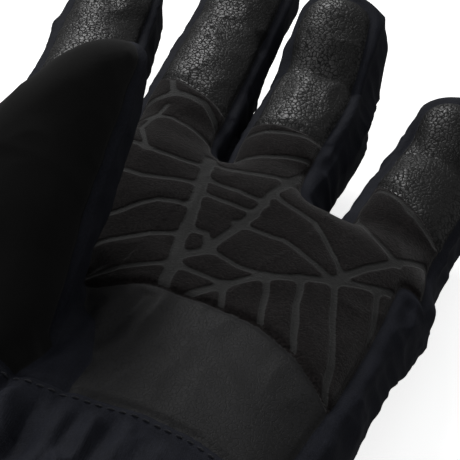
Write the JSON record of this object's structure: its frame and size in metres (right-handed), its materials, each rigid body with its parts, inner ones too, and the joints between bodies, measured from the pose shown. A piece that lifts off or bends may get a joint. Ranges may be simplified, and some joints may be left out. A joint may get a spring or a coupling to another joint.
{
  "type": "ski glove",
  "caption": "Insulated left-hand ski glove lying palm up, with jointed padded fingers and thumb, printed suede palm, leather tips and a flared cuff with a closing tab.",
  "frame": {"origin": "under the centre of the glove's bounding box, on the surface that it rests on", "axes": "+Y along the fingers, +Z out of the palm, -X towards the thumb"},
  "size_m": [0.1328, 0.2998, 0.0786],
  "materials": {
    "navy_softshell": "dark navy woven softshell, matte",
    "wipe_fabric": "black brushed microfibre, matte",
    "suede": "dark brown-black synthetic suede with a grey grip print",
    "fingertip_leather": "black pebbled leather",
    "heel_leather": "black-grey fine-grained leather",
    "fleece": "dark grey brushed fleece",
    "insulation": "pale fibre wadding",
    "hook_and_loop": "black hook-and-loop tape",
    "trim_tape": "black woven tape",
    "rubber_trim": "black moulded rubber, satin"
  },
  "bodies": {
    "hand": {"palm_grip_panel": "suede", "palm_heel_patch": "heel_leather", "thumb_root_wipe_panel": "wipe_fabric", "hand_back_shell": "navy_softshell", "hand_insulation": "insulation", "hand_lining": "fleece"},
    "index_base": {"index_base_palm_leather": "fingertip_leather", "index_base_back_shell": "navy_softshell", "index_base_lining": "fleece"},
    "index_tip": {"index_tip_palm_leather": "fingertip_leather", "index_tip_back_shell": "navy_softshell", "index_tip_lining": "fleece"},
    "middle_base": {"middle_base_palm_leather": "fingertip_leather", "middle_base_back_shell": "navy_softshell", "middle_base_lining": "fleece"},
    "middle_tip": {"middle_tip_palm_leather": "fingertip_leather", "middle_tip_back_shell": "navy_softshell", "middle_tip_lining": "fleece"},
    "ring_base": {"ring_base_palm_leather": "fingertip_leather", "ring_base_back_shell": "navy_softshell", "ring_base_lining": "fleece"},
    "ring_tip": {"ring_tip_palm_leather": "fingertip_leather", "ring_tip_back_shell": "navy_softshell", "ring_tip_lining": "fleece"},
    "little_base": {"little_base_palm_leather": "fingertip_leather", "little_base_back_shell": "navy_softshell", "little_base_lining": "fleece"},
    "little_tip": {"little_tip_palm_leather": "fingertip_leather", "little_tip_back_shell": "navy_softshell", "little_tip_lining": "fleece"},
    "thumb_base": {"thumb_base_wipe_panel": "wipe_fabric", "thumb_base_grip": "suede", "thumb_base_outer_side": "navy_softshell", "thumb_base_inner_side": "navy_softshell", "thumb_base_lining": "fleece"},
    "thumb_tip": {"thumb_tip_wipe_panel": "wipe_fabric", "thumb_tip_grip": "suede", "thumb_tip_side": "navy_softshell", "thumb_tip_lining": "fleece"},
    "cuff": {"cuff_shell": "navy_softshell", "cuff_lining": "fleece", "wrist_elastic": "trim_tape", "hem_binding": "trim_tape", "cuff_loop_patch": "hook_and_loop", "hang_loop": "trim_tape"},
    "closing_tab": {"cuff_tab": "navy_softshell", "tab_hook_patch": "hook_and_loop", "tab_pull": "rubber_trim"}
  },
  "joints": [
    {"name": "index_base_bend", "type": "hinge", "parent": "hand", "child": "index_base", "pos_m": [-0.04645, 0.06815, 0.01871], "axis": [0.9925, 0.1219, 0], "range_deg": [-10, 35]},
    {"name": "index_tip_bend", "type": "hinge", "parent": "index_base", "child": "index_tip", "pos_m": [-0.05083, 0.10383, 0.0206], "axis": [0.9925, 0.1219, 0], "range_deg": [-12, 42]},
    {"name": "middle_base_bend", "type": "hinge", "parent": "hand", "child": "middle_base", "pos_m": [-0.01677, 0.07214, 0.02074], "axis": [0.9997, -0.0262, 0], "range_deg": [-10, 35]},
    {"name": "middle_tip_bend", "type": "hinge", "parent": "middle_base", "child": "middle_tip", "pos_m": [-0.01573, 0.11174, 0.0263], "axis": [0.9997, -0.0262, 0], "range_deg": [-12, 36]},
    {"name": "ring_base_bend", "type": "hinge", "parent": "hand", "child": "ring_base", "pos_m": [0.01379, 0.06715, 0.01863], "axis": [0.9986, -0.0523, 0], "range_deg": [-10, 35]},
    {"name": "ring_tip_bend", "type": "hinge", "parent": "ring_base", "child": "ring_tip", "pos_m": [0.01571, 0.10382, 0.02314], "axis": [0.9986, -0.0523, 0], "range_deg": [-12, 18]},
    {"name": "little_base_bend", "type": "hinge", "parent": "hand", "child": "little_base", "pos_m": [0.04492, 0.05503, 0.01763], "axis": [0.9781, -0.2079, 0], "range_deg": [-10, 35]},
    {"name": "little_tip_bend", "type": "hinge", "parent": "little_base", "child": "little_tip", "pos_m": [0.0509, 0.08318, 0.02117], "axis": [0.9781, -0.2079, 0], "range_deg": [-12, 25]},
    {"name": "thumb_base_bend", "type": "hinge", "parent": "hand", "child": "thumb_base", "pos_m": [-0.03492, -0.00215, 0.0415], "axis": [1, 0, 0], "range_deg": [-7, 20]},
    {"name": "thumb_tip_bend", "type": "hinge", "parent": "thumb_base", "child": "thumb_tip", "pos_m": [-0.03492, 0.01884, 0.0585], "axis": [1, 0, 0], "range_deg": [-7, 20]},
    {"name": "wrist_bend", "type": "hinge", "parent": "hand", "child": "cuff", "pos_m": [-0.00192, -0.0358, 0.0164], "axis": [1, 0, 0], "range_deg": [-10, 18]},
    {"name": "tab_lift", "type": "hinge", "parent": "cuff", "child": "closing_tab", "pos_m": [-0.03242, -0.0868, 0.04213], "axis": [0, -1, 0], "range_deg": [0, 75]}
  ]
}
